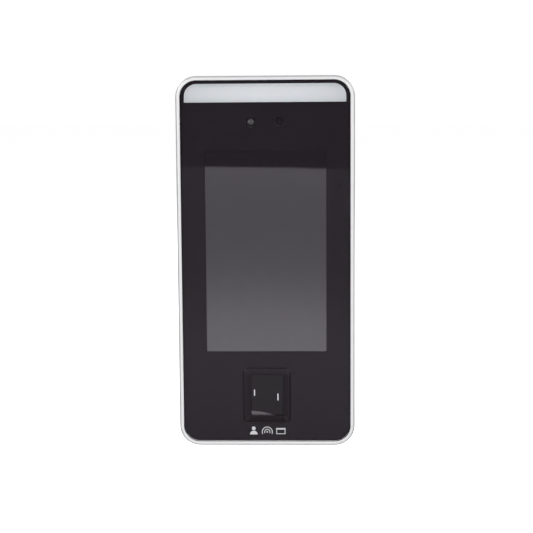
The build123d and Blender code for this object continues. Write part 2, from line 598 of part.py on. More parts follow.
# Chips and flex connectors on the board's front and rear: x, z, width, height, thickness.
FRONT_CHIPS = [
    (8.0, 40.0, 15.0, 15.0, 1.2),
    (-4.5, 33.0, 7.0, 5.5, 0.9),
    (20.5, 33.0, 6.0, 8.0, 0.9),
    (0.0, 60.5, 15.0, 3.0, 0.8),
    (0.0, -48.0, 27.0, 3.0, 0.8),
    (0.0, -89.2, 11.0, 3.0, 0.8),
    (-26.0, 46.0, 7.0, 7.0, 1.0),
    (-26.0, 32.0, 5.0, 6.2, 1.4),
    (-27.0, -6.0, 9.0, 6.5, 1.2),
    (8.0, -38.0, 10.0, 7.5, 1.6),
    (-20.0, -40.0, 5.0, 4.0, 1.4),
    (24.0, 2.0, 6.0, 6.0, 1.0),
]
REAR_CHIPS = [
    (-8.0, 42.0, 9.0, 6.0, 1.4),
    (8.0, 40.0, 5.0, 5.0, 1.0),
    (0.0, 66.0, 7.0, 5.0, 1.2),
    (-6.0, -44.0, 6.0, 5.0, 1.2),
    (10.0, -46.0, 4.5, 4.0, 1.2),
    (2.0, -78.0, 8.0, 6.0, 1.2),
]


def board_chips():
    chips = [
        slab(w, h, BOARD_FRONT, BOARD_FRONT + t, 0.2, x, z) for x, z, w, h, t in FRONT_CHIPS
    ]
    chips += [slab(w, h, BOARD_REAR - t, BOARD_REAR, 0.2, x, z) for x, z, w, h, t in REAR_CHIPS]
    return group(chips)


def board_capacitors():
    cans = []
    for x, z in ((30.0, 24.0), (30.0, 16.0), (-30.0, 12.0), (-30.0, 20.0), (30.0, -16.0)):
        can = rod(2.5, BOARD_FRONT + 0.6, BOARD_FRONT + 5.0, x, z)
        can = fillet(can.faces().sort_by(Axis.Y)[0].edges(), 0.4)
        cans.append(can + slab(5.2, 5.2, BOARD_FRONT, BOARD_FRONT + 0.6, 0.4, x, z))
    return group(cans)


def lock_relay():
    relay = slab(15.6, 7.8, BOARD_FRONT + 0.2, BOARD_FRONT + 5.2, 0.5, RELAY_X, RELAY_Z)
    for x in (-6.2, -1.2, 5.8):
        relay += slab(0.6, 9.2, BOARD_FRONT, BOARD_FRONT + 0.4, 0, RELAY_X + x, RELAY_Z)
    return relay


def battery_clip():
    x, z, low, high = BATTERY_X, BATTERY_Z, BOARD_FRONT + 0.3, BOARD_FRONT + 2.6
    clip = rod(7.4, BOARD_FRONT, high, x, z) - rod(6.35, low, high, x, z)
    return clip - block(x - 2.5, x + 2.5, z - 8, z, low, high)


def clock_battery():
    cell = rod(6.25, BOARD_FRONT + 0.3, BOARD_FRONT + 2.3, BATTERY_X, BATTERY_Z)
    return fillet(cell.faces().sort_by(Axis.Y)[0].edges(), 0.3)


# ---------------------------------------------------------------- connectors
def network_jack():
    """Socket that opens towards the wall, with its latch notch below."""
    body = slab(JACK_WIDTH, JACK_HEIGHT, JACK_REAR, JACK_FRONT, 0.4, JACK_X, JACK_Z)
    body -= slab(11.9, 8.0, JACK_REAR, 13.4, 0, JACK_X, JACK_Z + 1.4)
    body -= slab(6.4, 2.4, JACK_REAR, 12.0, 0, JACK_X, JACK_Z - 3.6)
    return body - slab(3.6, 1.2, JACK_REAR, 12.0, 0, JACK_X, JACK_Z - 5.3)


def network_contacts():
    wires = []
    for step in range(8):
        x = JACK_X + (step - 3.5) * 1.02
        wires.append(block(x - 0.2, x + 0.2, JACK_Z + 4.9, JACK_Z + 5.4, 4.0, 13.4))
    return group(wires)


def header_shell(x, z, pins):
    length = pins * PIN_PITCH + 2.4
    shell = slab(length, 5.8, 2.2, BOARD_REAR, 0.3, x, z)
    shell -= slab(length - 2.0, 3.8, 2.2, BOARD_REAR - 1.4, 0.1, x, z)
    for side in (-1, 1):
        notch_x = x + side * (length / 2 - 3.2)
        shell -= block(notch_x - 0.6, notch_x + 0.6, z - 3, z - 1.8, 2.2, 5.2)
    return shell


def wiring_headers():
    return group(header_shell(x, z, pins) for x, z, pins in HEADERS)


def header_pins():
    posts = []
    for x, z, pins in HEADERS:
        for step in range(pins):
            pin_x = x + (step - (pins - 1) / 2) * PIN_PITCH
            posts.append(slab(0.64, 0.64, 3.0, BOARD_REAR - 1.4, 0, pin_x, z))
    return group(posts)


def usb_shell():
    high = USB_OUT + USB_THICK
    half = USB_WIDTH / 2
    shell = block(USB_X - half, USB_X + half, USB_MOUTH, USB_END, USB_OUT, high)
    shell = fillet(shell.edges().filter_by(Axis.Z), 0.5)
    room = half - 0.3
    gone = block(USB_X - room, USB_X + room, USB_MOUTH, USB_END - 0.3, USB_OUT + 0.3, high - 0.3)
    return shell - gone


def usb_tongue():
    """Insulator: a block at the back with the tongue that carries the contacts."""
    high = USB_OUT + USB_THICK - 0.3
    room = USB_WIDTH / 2 - 0.3
    back = block(USB_X - room, USB_X + room, USB_END - 3.3, USB_END - 0.3, USB_OUT + 0.3, high)
    tongue = block(USB_X - 5.5, USB_X + 5.5, USB_MOUTH + 1.4, USB_END - 3.3, high - 2.4, high - 0.5)
    return back + tongue


def usb_contacts():
    high = USB_OUT + USB_THICK - 2.7
    return group(
        block(USB_X + x - 0.5, USB_X + x + 0.5, USB_MOUTH + 2.0, USB_END - 3.3, high - 0.15, high)
        for x in (-3.5, -1.1, 1.1, 3.5)
    )


# ---------------------------------------------------------------- sound and switches
def speaker_room(shrink, low, high, radius):
    middle, height = (SPEAKER_TOP + SPEAKER_BOTTOM) / 2, SPEAKER_TOP - SPEAKER_BOTTOM
    size = SPEAKER_WIDTH - 2 * shrink, height - 2 * shrink
    return slab(*size, low, high, radius, SPEAKER_X, middle)


def speaker_frame():
    frame = speaker_room(0, BOARD_FRONT, SPEAKER_FRONT, 2.5)
    return frame - speaker_room(1.6, SPEAKER_FRONT - 2.7, SPEAKER_FRONT, 1.6)


def speaker_cone():
    middle = (SPEAKER_TOP + SPEAKER_BOTTOM) / 2
    low, high = SPEAKER_FRONT - 1.5, SPEAKER_FRONT - 0.3
    cone = speaker_room(1.7, low, low + 0.4, 1.5)
    dome = speaker_room(4.5, low + 0.4, high, 2.0)
    rim = dome.faces().sort_by(Axis.Y)[0].edges()
    return cone + chamfer(rim, 0.6) - rod(1.0, high - 0.4, high, SPEAKER_X, middle)


def speaker_seal():
    """Foam walls on three sides that lead the sound down to the grille."""
    half, low = SPEAKER_WIDTH / 2, -BODY_HEIGHT / 2 + FRAME_WALL + 0.1
    left, right = SPEAKER_X - half, SPEAKER_X + half
    walls = block(left, right, low, SPEAKER_TOP, SPEAKER_FRONT, INK_BACK)
    walls -= block(left, right, low, -GLASS_HEIGHT / 2 + LEDGE_WIDTH, LEDGE_BACK, INK_BACK)
    room = left + 1.6, right - 1.6
    return walls - block(*room, low, SPEAKER_TOP - 1.6, SPEAKER_FRONT, INK_BACK)


def mic_block(low, high):
    return block(MIC_X - 1.4, MIC_X + 2.8, MIC_Z - 2.5, MIC_Z + 2.5, low, high)


def microphone():
    return mic_block(MIC_BOARD_REAR, MIC_BOARD_FRONT)


def microphone_boot():
    hole = rod(MIC_HOLE / 2, MIC_BOARD_FRONT, INK_BACK, MIC_X, MIC_Z)
    return mic_block(MIC_BOARD_FRONT, INK_BACK) - hole


def tamper_switch():
    body = slab(6.2, 6.2, 6.2, BOARD_REAR, 0.4, TAMPER_X, TAMPER_Z)
    return body - rod(1.2, 6.2, 7.7, TAMPER_X, TAMPER_Z)


def tamper_plunger():
    """Spring-loaded pin that the wall plate holds pressed."""
    pin = rod(1.5, PLATE_THICK + 0.05, RECESS_BACK + 0.1, TAMPER_X, TAMPER_Z)
    pin = fillet(pin.faces().sort_by(Axis.Y)[-1].edges(), 0.5)
    collar = rod(2.3, RECESS_BACK + 0.1, RECESS_BACK + 0.8, TAMPER_X, TAMPER_Z)
    return pin + collar + rod(1.0, RECESS_BACK + 0.8, 6.4, TAMPER_X, TAMPER_Z)


def reset_switch():
    body = block(RESET_X - 3, RESET_X + 3, -92.6, -89.0, RESET_OUT - 1.6, BOARD_REAR)
    return body - upright(1.0, -92.6, -91.4, RESET_X, RESET_OUT)


def reset_plunger():
    pin = upright(0.9, -94.2, -92.0, RESET_X, RESET_OUT)
    return fillet(pin.faces().sort_by(Axis.Z)[0].edges(), 0.2)


# ---------------------------------------------------------------- every node
NODES = {
    "wall_plate": wall_plate,
    "security_screw": security_screw,
    "front_frame": front_frame,
    "rear_cover": rear_cover,
    "case_screws": case_screws,
    "security_insert": security_insert,
    "cover_glass": cover_glass,
    "ink_border": ink_border,
    "glass_tape": glass_tape,
    "touch_film": touch_film,
    "lcd_tray": lcd_tray,
    "lcd_backlight": lcd_backlight,
    "lcd_panel": lcd_panel,
    "lcd_flex": lcd_flex,
    "light_diffuser": light_diffuser,
    "light_box": light_box,
    "light_board": light_board,
    "light_leds": light_leds,
    "chassis_plate": chassis_plate,
    "chassis_screws": chassis_screws,
    "camera_board": camera_board,
    "color_camera_holder": lambda: camera_holder(-CAMERA_X),
    "color_camera_barrel": lambda: camera_barrel(-CAMERA_X),
    "color_camera_lens": lambda: camera_lens(-CAMERA_X),
    "infrared_camera_holder": lambda: camera_holder(CAMERA_X),
    "infrared_camera_barrel": lambda: camera_barrel(CAMERA_X),
    "infrared_camera_lens": lambda: camera_lens(CAMERA_X),
    "infrared_leds": infrared_leds,
    "camera_flex": camera_flex,
    "sensor_bezel": sensor_bezel,
    "sensor_gasket": sensor_gasket,
    "sensor_prism": sensor_prism,
    "sensor_housing": sensor_housing,
    "sensor_board": sensor_board,
    "sensor_chip": sensor_chip,
    "sensor_flex": sensor_flex,
    "main_board": main_board,
    "board_screws": board_screws,
    "processor_shield": processor_shield,
    "board_chips": board_chips,
    "board_capacitors": board_capacitors,
    "lock_relay": lock_relay,
    "battery_clip": battery_clip,
    "clock_battery": clock_battery,
    "network_jack": network_jack,
    "network_contacts": network_contacts,
    "wiring_headers": wiring_headers,
    "header_pins": header_pins,
    "usb_shell": usb_shell,
    "usb_tongue": usb_tongue,
    "usb_contacts": usb_contacts,
    "speaker_frame": speaker_frame,
    "speaker_cone": speaker_cone,
    "speaker_seal": speaker_seal,
    "microphone": microphone,
    "microphone_boot": microphone_boot,
    "tamper_switch": tamper_switch,
    "tamper_plunger": tamper_plunger,
    "reset_switch": reset_switch,
    "reset_plunger": reset_plunger,
}

os.makedirs("parts", exist_ok=True)
for name, make in NODES.items():
    export_step(make(), f"parts/{name}.step")
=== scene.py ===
"""Looks for the wall-mounted access terminal: materials, small printed and soldered detail, stage.

Metres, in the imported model's own frame: X right, Z up, Y into the wall, the glass faces -Y.
"""

import json
import math

import bmesh
import bpy
from mathutils import Euler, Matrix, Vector


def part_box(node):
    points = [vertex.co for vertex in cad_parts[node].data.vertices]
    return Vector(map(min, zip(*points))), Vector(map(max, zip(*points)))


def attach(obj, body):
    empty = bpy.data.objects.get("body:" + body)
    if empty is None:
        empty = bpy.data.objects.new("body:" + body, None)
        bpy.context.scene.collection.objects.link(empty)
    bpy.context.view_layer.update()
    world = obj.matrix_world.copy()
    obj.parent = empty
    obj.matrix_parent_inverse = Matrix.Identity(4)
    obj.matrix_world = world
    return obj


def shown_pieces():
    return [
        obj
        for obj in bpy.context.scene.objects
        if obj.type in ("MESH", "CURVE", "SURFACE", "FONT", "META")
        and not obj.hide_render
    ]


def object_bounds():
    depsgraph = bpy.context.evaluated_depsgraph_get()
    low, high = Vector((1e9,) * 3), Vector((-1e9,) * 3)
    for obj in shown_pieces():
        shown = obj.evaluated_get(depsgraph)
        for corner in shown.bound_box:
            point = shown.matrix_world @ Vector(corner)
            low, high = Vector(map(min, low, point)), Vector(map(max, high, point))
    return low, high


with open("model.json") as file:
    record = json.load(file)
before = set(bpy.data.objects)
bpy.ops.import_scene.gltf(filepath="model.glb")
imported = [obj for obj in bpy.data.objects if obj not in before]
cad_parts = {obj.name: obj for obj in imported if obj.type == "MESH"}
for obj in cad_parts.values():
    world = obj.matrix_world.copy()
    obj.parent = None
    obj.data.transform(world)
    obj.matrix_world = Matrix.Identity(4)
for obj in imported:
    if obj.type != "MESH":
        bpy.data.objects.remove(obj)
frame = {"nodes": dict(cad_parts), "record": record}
cad_low, cad_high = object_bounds()

MM = 0.001

# Front: printed icons, the microphone's hole, and what shows in the fingerprint window.
ICON_PITCH = 7.4 * MM
ICON_DROP = 3.0 * MM  # from the foot of the sensor's bezel to the icons' middle
ICON_LINE = 0.42 * MM
MIC_INSET = 1.4 * MM  # from the left face of the microphone's boot to its hole
GAUZE_RADIUS = 0.62 * MM
WINDOW_DEPTH = 1.3 * MM  # from the prism's front to the slits inside it, which have a painted glow
SLIT_WIDTH = 0.56 * MM
SLITS_MM = ((-6.9, -0.7, 2.7), (5.9, -3.3, 0.5))  # across, foot and head, from the prism's middle
FACET_MM = (  # across and up, from the prism's lower left corner
    (0.4, 2.5),
    (6.9, 1.8),
    (8.7, 1.3),
    (14.2, -0.1),
    (1.3, 0.0),
    (0.6, 0.9),
)

# Rear of the main board: white print, chip parts and test pads, at x and z from the origin.
PRINT_THICK = 0.015 * MM
PRINT_LINE = 0.18 * MM
PRINT_MARGIN = 0.5 * MM  # between a connector and the outline round it
PRINT_MARK = 1.1 * MM  # the triangle at each connector's first pin
ROW_GAP = 3 * MM  # points further apart than this along Z belong to different headers
CHIP_SIZES_MM = ((1.6, 0.8, 0.45), (2.0, 1.25, 0.85))  # long, wide and tall: resistor, capacitor
CHIP_PITCH_MM = 2.3
CHIP_ROWS_MM = (  # x, z of the uppermost, how many, and 0 for resistors or 1 for capacitors
    (15.0, -12.0, 6, 0),
    (19.5, -12.0, 6, 1),
    (24.0, -14.0, 4, 0),
    (-19.5, -10.0, 5, 1),
    (-23.5, -12.0, 4, 0),
    (24.0, 20.0, 2, 1),
    (2.5, 10.0, 4, 0),
)
CHIP_CAP = 0.32 * MM  # length of each tinned end
PAD_ROWS_MM = ((-20.0, -28.0, 5), (14.5, -29.5, 5))  # x, z of the leftmost, and how many
PAD_PITCH_MM = 2.1
PAD_RADIUS = 0.6 * MM

# Stage.
FLOOR_HALF = 12.0
FLOOR_DROP = 0.012  # the object hangs over the floor, so that its screw can come down
CARD_Y = -0.78  # the card that the glass mirrors stands in front of the object
CARD_HALF, CARD_FOOT, CARD_HEAD = 0.40, -0.62, 0.80
CARD_TOP = 0.0145  # height where its grey part ends and its dark part starts
CARD_SLOPE = 0.026  # how much that edge falls per metre to the right
CARD_EDGE = 0.0015  # half the height over which the edge is soft
CARD_FADE = 0.30  # height over which the grey changes, down from that edge
CARD_DARK = 0.012  # strength of the dark part
SOFTBOXES = (  # name, place, watts, width and height
    ("key_left", (-0.80, -1.35, 0.45), 11.8, 0.6, 0.8),
    ("key_right", (0.85, -1.35, 0.35), 11.4, 0.6, 0.8),
    ("floor_bounce", (0.0, -1.0, -0.85), 3.0, 1.2, 0.6),
    ("top", (0.0, 0.1, 1.3), 2.0, 1.0, 0.6),
    ("rear_left", (-0.9, 1.05, 0.7), 10.0, 0.6, 0.8),
    ("rear_right", (0.9, 1.05, 0.7), 12.0, 0.6, 0.8),
)
CAMERA_PLACE = (0.0241, -0.7451, 0.0859)
CAMERA_TURN = (83.10, 0.41, 1.84)  # degrees about X, Y and Z
CAMERA_LENS, CAMERA_SENSOR = 91.5, 36.0  # millimetres


# ---------------------------------------------------------------- node-tree helpers
class Shader:
    """One material's node tree, with short calls to add and join nodes."""

    def __init__(self, name):
        self.material = bpy.data.materials.new(name)
        self.material.use_nodes = True
        self.tree = self.material.node_tree
        self.bsdf = self.tree.nodes["Principled BSDF"]
        self.output = self.tree.nodes["Material Output"]
        self.coordinates = self.add("ShaderNodeTexCoord").outputs["Object"]

    def add(self, kind, links=None, **settings):
        """A new node, with its inputs linked or set, and its own settings."""
        node = self.tree.nodes.new(kind)
        for key, value in settings.items():
            setattr(node, key, value)
        for key, value in (links or {}).items():
            socket = node.inputs[key]
            if isinstance(value, bpy.types.NodeSocket):
                self.tree.links.new(value, socket)
            else:
                socket.default_value = value
        return node

    def math(self, operation, first, second=0.0):
        links = {0: first, 1: second}
        return self.add("ShaderNodeMath", links, operation=operation).outputs[0]

    def square(self, value):
        return self.math("MULTIPLY", value, value)

    def place(self):
        """The object coordinates, as outputs named X, Y and Z."""
        return self.add("ShaderNodeSeparateXYZ", {"Vector": self.coordinates}).outputs

    def stretched(self, x, y, z):
        """The object coordinates, scaled along each axis."""
        links = {"Vector": self.coordinates, "Scale": (x, y, z)}
        return self.add("ShaderNodeMapping", links).outputs["Vector"]

    def noise(self, size, detail=3.0, vector=None):
        """Noise whose features are about size metres across."""
        links = {"Vector": vector or self.coordinates, "Scale": 1 / size, "Detail": detail}
        return self.add("ShaderNodeTexNoise", links).outputs["Fac"]

    def cells(self, size, output="Color", randomness=1.0, **settings):
        """Cells about size metres across."""
        links = {"Vector": self.coordinates, "Scale": 1 / size, "Randomness": randomness}
        return self.add("ShaderNodeTexVoronoi", links, **settings).outputs[output]

    def spread(self, value, low, high, from_low=0.3, from_high=0.7):
        """Maps a value onto low..high: by default one that varies about a half, as noise does."""
        links = {
            "Value": value,
            "From Min": from_low,
            "From Max": from_high,
            "To Min": low,
            "To Max": high,
        }
        return self.add("ShaderNodeMapRange", links).outputs["Result"]

    def mix(self, factor, first, second):
        """A colour from the first to the second, by a factor from 0 to 1."""
        node = self.add("ShaderNodeMix", data_type="RGBA")
        for index, value in ((0, factor), (6, first), (7, second)):
            if isinstance(value, bpy.types.NodeSocket):
                self.tree.links.new(value, node.inputs[index])
            elif index == 0:
                node.inputs[0].default_value = value
            else:
                node.inputs[index].default_value = (*value, 1.0)
        return node.outputs[2]

    def ramp(self, value, *stops):
        """A smooth curve through (position, level) stops."""
        node = self.add("ShaderNodeFloatCurve", {"Value": value, "Factor": 1.0})
        curve = node.mapping.curves[0]
        for index, (position, level) in enumerate(stops):
            if index < len(curve.points):
                curve.points[index].location = (position, level)
            else:
                curve.points.new(position, level)
        node.mapping.update()
        return node.outputs["Value"]

    def radius_from(self, centre):
        """Distance from a line along Y through the centre."""
        place = self.place()
        across = self.math("SUBTRACT", place["X"], centre.x)
        upward = self.math("SUBTRACT", place["Z"], centre.z)
        return self.math("SQRT", self.math("ADD", self.square(across), self.square(upward)))

    def bump(self, height, depth, strength=1.0):
        """Adds relief of about depth metres, over any relief the shader already has."""
        links = {"Height": height, "Distance": depth, "Strength": strength}
        if self.bsdf.inputs["Normal"].links:
            links["Normal"] = self.bsdf.inputs["Normal"].links[0].from_socket
        normal = self.add("ShaderNodeBump", links).outputs["Normal"]
        self.tree.links.new(normal, self.bsdf.inputs["Normal"])

    def set(self, **inputs):
        """Sets or links inputs of the main shader: underscores stand for spaces."""
        for key, value in inputs.items():
            socket = self.bsdf.inputs[key.replace("_", " ")]
            if isinstance(value, bpy.types.NodeSocket):
                self.tree.links.new(value, socket)
            elif socket.type == "RGBA":
                socket.default_value = (*value, 1.0)
            else:
                socket.default_value = value


def unsampled(shader):
    """Glow that is only seen or mirrored, so the lamps keep all the light samples."""
    shader.material.cycles.emission_sampling = "NONE"
    return shader.material


def shade(colour, amount):
    """The colour made paler or darker, in proportion."""
    return tuple(min(1.0, part * amount) for part in colour)


# ---------------------------------------------------------------- materials
def moulded_plastic(name, colour, roughness, grain, depth, mottle=0.12, gloss=0.5):
    """Plastic with a fine spark-eroded grain and slight patches of sheen."""
    s = Shader(name)
    patches = s.noise(14 * MM, 4)
    fine = s.noise(grain, 2)
    s.set(
        Base_Color=s.mix(patches, shade(colour, 1 - mottle), shade(colour, 1 + mottle)),
        Roughness=s.spread(patches, roughness - 0.05, roughness + 0.05),
        Specular_IOR_Level=gloss,
    )
    s.bump(fine, depth)
    s.bump(s.cells(grain * 1.6, "Distance"), depth * 0.7)
    return s.material


def sheet_metal(name, colour, roughness, line=0.15 * MM, stretch=30.0, spangle=None):
    """Rolled sheet: fine lines along Z, patches of tone, and zinc spangle if asked."""
    s = Shader(name)
    lines = s.noise(line, 3, s.stretched(1.0, 1.0, 1 / stretch))
    patches = s.noise(9 * MM, 4)
    tone = s.mix(patches, shade(colour, 0.9), shade(colour, 1.06))
    if spangle:
        grey = s.add("ShaderNodeRGBToBW", {"Color": s.cells(spangle)}).outputs[0]
        tone = s.mix(s.spread(grey, 0.0, 0.22, 0.2, 0.8), tone, shade(colour, 1.2))
        rough = s.spread(grey, roughness - 0.035, roughness + 0.035, 0.2, 0.8)
    else:
        rough = s.spread(lines, roughness - 0.08, roughness + 0.08)
    s.set(Base_Color=tone, Metallic=1.0, Roughness=rough)
    s.bump(lines, 0.004 * MM)
    return s.material


def silver_paint(name):
    """Satin metallic paint on a cast frame: fine flakes under a thin lacquer.

    The rounded front edge has painted shade that makes it darker than the sides, and the frame's inner
    wall is painted near black as shade in the gap round the glass.
    """
    s = Shader(name)
    flakes = s.add("ShaderNodeRGBToBW", {"Color": s.cells(0.11 * MM)}).outputs[0]
    patches = s.noise(22 * MM, 3)
    pale = s.mix(s.spread(flakes, 0.0, 1.0, 0.2, 0.8), (0.82, 0.82, 0.825), (0.92, 0.92, 0.925))
    pale = s.mix(s.spread(patches, 0.0, 0.25), pale, (0.84, 0.84, 0.85))
    normal = s.add("ShaderNodeNewGeometry").outputs["Normal"]
    facing = s.add("ShaderNodeSeparateXYZ", {"Vector": normal}).outputs["Y"]
    frontal = s.math("MULTIPLY", facing, -1.0)
    # painted shade: where the surface turns from the front to the sides it is darkened towards grey
    painted_rim_shade = s.ramp(frontal, (0.0, 0.1), (0.3, 1.0), (0.85, 0.9), (0.99, 0.0))
    pale = s.mix(s.math("MULTIPLY", painted_rim_shade, 0.85), pale, (0.46, 0.46, 0.465))
    # painted shade: the inner wall's faces, which face the glass, are painted near black
    links = {0: normal, 1: s.stretched(1.0, 0.0, 1.0)}
    outward = s.add("ShaderNodeVectorMath", links, operation="DOT_PRODUCT").outputs["Value"]
    painted_gap_shade = s.math("LESS_THAN", outward, -10 * MM)
    s.set(
        Base_Color=s.mix(painted_gap_shade, pale, (0.012, 0.012, 0.013)),
        Metallic=0.2,
        Roughness=s.spread(flakes, 0.30, 0.42, 0.2, 0.8),
        Coat_Weight=0.25,
        Coat_Roughness=0.18,
    )
    s.bump(s.noise(0.18 * MM, 2), 0.006 * MM)
    s.bump(s.noise(3.2 * MM, 2), 0.01 * MM)
    return s.material


def clear_pane(name, tint, ior=1.33, roughness=0.0):
    """Flat glass or film that lets lamps light what lies behind it."""
    s = Shader(name)
    s.set(Base_Color=tint, Roughness=roughness, IOR=ior, Transmission_Weight=1.0)
    path = s.add("ShaderNodeLightPath")
    passing = s.math("MAXIMUM", path.outputs["Is Shadow Ray"], path.outputs["Is Diffuse Ray"])
    clear = s.add("ShaderNodeBsdfTransparent", {"Color": (*tint, 1.0)})
    links = {0: passing, 1: s.bsdf.outputs[0], 2: clear.outputs[0]}
    mixed = s.add("ShaderNodeMixShader", links)
    s.tree.links.new(mixed.outputs[0], s.output.inputs["Surface"])
    return s.material


def black_print(name):
    """Screen-printed black, seen from its flat side through the glass."""
    s = Shader(name)
    weave = s.noise(0.8 * MM, 3)
    s.set(
        Base_Color=s.mix(weave, (0.0092, 0.0062, 0.0092), (0.0108, 0.0074, 0.0108)),
        Roughness=0.6,
        Specular_IOR_Level=0.1,
    )
    s.bump(weave, 0.002 * MM)
    return s.material


def display_face(name):
    """Switched-off display: dark cells under a polariser that mirrors faintly."""
    s = Shader(name)
    place, pitch, gap_share = s.place(), 0.135 * MM, 0.18
    gaps = []
    for axis in ("X", "Z"):
        along = s.math("FRACT", s.math("MULTIPLY", place[axis], 1 / pitch))
        gaps.append(s.math("LESS_THAN", along, gap_share))
    gap = s.math("MAXIMUM", *gaps)
    haze = s.noise(1.4 * MM, 5)
    s.set(
        Base_Color=s.mix(gap, (0.0225, 0.0175, 0.0225), (0.0195, 0.0150, 0.0195)),
        Roughness=s.spread(haze, 0.008, 0.016),
        IOR=2.3,
        Specular_IOR_Level=1.0,
    )
    s.bump(s.noise(60 * MM, 1), 0.05 * MM, 0.5)
    return s.material


def milky_plastic(name):
    """Diffusing acrylic with the faint cloudiness of its filler, with painted shade that makes it
    dimmer towards its edges.
    """
    s = Shader(name)
    cloud = s.noise(2.6 * MM, 5)
    low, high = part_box("light_diffuser")
    half_wide, half_tall = 43 * MM, 5 * MM
    place = s.place()
    upward = s.math("SUBTRACT", place["Z"], (low.z + high.z) / 2)
    # painted shade: darker towards the ends and towards the upper and lower edges
    painted_end_shade = s.math("MULTIPLY", s.square(place["X"]), 0.17 / half_wide**2)
    painted_edge_shade = s.math("MULTIPLY", s.square(upward), 0.16 / half_tall**2)
    pale = s.mix(cloud, (0.668, 0.681, 0.711), (0.728, 0.741, 0.773))
    s.set(
        Base_Color=s.mix(s.math("ADD", painted_edge_shade, painted_end_shade), pale, (0.10, 0.10, 0.10)),
        Roughness=0.42,
        Subsurface_Weight=0.15,
        Subsurface_Scale=0.002,
    )
    s.bump(s.noise(0.5 * MM, 3), 0.004 * MM)
    return s.material


def circuit_board(name, mask, trace, pad):
    """Solder mask over copper: runs of traces in blocks, vias and a slight gloss."""
    s = Shader(name)
    place = s.place()
    blocks = s.cells(9 * MM, randomness=0.9, distance="CHEBYCHEV")
    chance = s.add("ShaderNodeSeparateColor", {"Color": blocks}).outputs
    upright = s.math("LESS_THAN", chance[0], 0.5)
    level = s.math("SUBTRACT", 1.0, upright)
    runs = []
    for axis, pitch, chosen in (("X", 0.62 * MM, upright), ("Z", 0.74 * MM, level)):
        along = s.math("FRACT", s.math("MULTIPLY", place[axis], 1 / pitch))
        runs.append(s.math("MULTIPLY", chosen, s.math("LESS_THAN", along, 0.42)))
    routed = s.math("MULTIPLY", s.math("ADD", *runs), s.math("LESS_THAN", chance[1], 0.62))
    distance = s.cells(3.1 * MM, "Distance")
    via = s.math("LESS_THAN", distance, 0.11)
    hole = s.math("LESS_THAN", distance, 0.05)
    colour = s.mix(via, s.mix(routed, mask, trace), pad)
    s.set(
        Base_Color=s.mix(hole, colour, (0.01, 0.01, 0.01)),
        Metallic=s.math("MULTIPLY", via, 0.8),
        Roughness=s.spread(s.noise(1.1 * MM, 3), 0.26, 0.38),
        Coat_Weight=0.3,
        Coat_Roughness=0.15,
    )
    s.bump(s.math("ADD", routed, via), 0.03 * MM)
    s.bump(s.noise(0.4 * MM, 2), 0.003 * MM)
    return s.material


def flex_film(name):
    """Amber polyimide over etched copper strips."""
    s = Shader(name)
    pitch = 0.5 * MM
    across = s.math("FRACT", s.math("MULTIPLY", s.place()["X"], 1 / pitch))
    strip = s.math("LESS_THAN", across, 0.55)
    s.set(
        Base_Color=s.mix(strip, (0.36, 0.15, 0.02), (0.62, 0.31, 0.06)),
        Roughness=s.spread(s.noise(2 * MM), 0.25, 0.4),
    )
    s.bump(strip, 0.02 * MM)
    return s.material


def open_foam(name):
    """Black foam with open pores."""
    s = Shader(name)
    pores = s.cells(0.35 * MM, "Distance")
    skin = s.spread(pores, 0, 1, 0.1, 0.6)
    s.set(Base_Color=s.mix(skin, (0.008, 0.008, 0.009), (0.03, 0.03, 0.032)), Roughness=0.95)
    s.bump(pores, 0.06 * MM)
    return s.material


def coated_lens(name, node, glass, glint, specular, roughness):
    """A front lens element: dark glass with a painted glint, a paler band towards its rim."""
    s = Shader(name)
    low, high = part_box(node)
    away = s.math("DIVIDE", s.radius_from((low + high) / 2), (high.x - low.x) / 2)
    # painted glint: the glint colour in a band between the middle and the rim
    glint_ring = s.ramp(away, (0.0, 0.35), (0.35, 0.4), (0.62, 1.0), (1.0, 0.8))
    s.set(
        Base_Color=s.mix(glint_ring, glass, glint),
        Roughness=s.spread(s.noise(0.6 * MM), roughness * 0.7, roughness * 1.3),
        IOR=1.6,
        Specular_IOR_Level=specular,
    )
    return s.material


def sensor_surround(name):
    """Fine-grained black plastic, with painted shade in the gap round its edge and at its foot, and a
    painted highlight that makes it paler at its head.
    """
    s = Shader(name)
    low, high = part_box("sensor_bezel")
    flange = Vector((2.0, 0.0, 1.75)) * MM  # what its rear flange adds on each side
    middle, half, gap = (low + high) / 2, (high - low) / 2 - flange, 0.3 * MM
    place = s.place()
    upward = s.math("SUBTRACT", place["Z"], middle.z)
    sides = s.math("SUBTRACT", s.math("ABSOLUTE", place["X"]), half.x - gap)
    ends = s.math("SUBTRACT", s.math("ABSOLUTE", upward), half.z - gap)
    # painted shade in the gap round the edge
    edge = s.math("GREATER_THAN", s.math("MAXIMUM", sides, ends), 0.0)
    # painted shade at the foot, and a painted highlight at the head
    foot = s.spread(upward, 0.62, 0.0, -half.z + 0.5 * MM, -half.z + 4.5 * MM)
    head = s.spread(upward, 1.0, 1.4, half.z - 4.5 * MM, half.z - 3.0 * MM)
    grain = s.noise(0.2 * MM, 2)
    tone = s.mix(s.noise(14 * MM, 4), (0.0205, 0.0162, 0.0205), (0.0250, 0.0200, 0.0250))
    links = {0: tone, "Scale": head}
    tone = s.add("ShaderNodeVectorMath", links, operation="SCALE").outputs["Vector"]
    dark = s.math("MAXIMUM", s.math("MULTIPLY", edge, 0.85), foot)
    s.set(
        Base_Color=s.mix(dark, tone, (0.002, 0.0015, 0.002)),
        Roughness=s.spread(grain, 0.40, 0.50),
        Specular_IOR_Level=0.16,
    )
    s.bump(grain, 0.002 * MM)
    return s.material


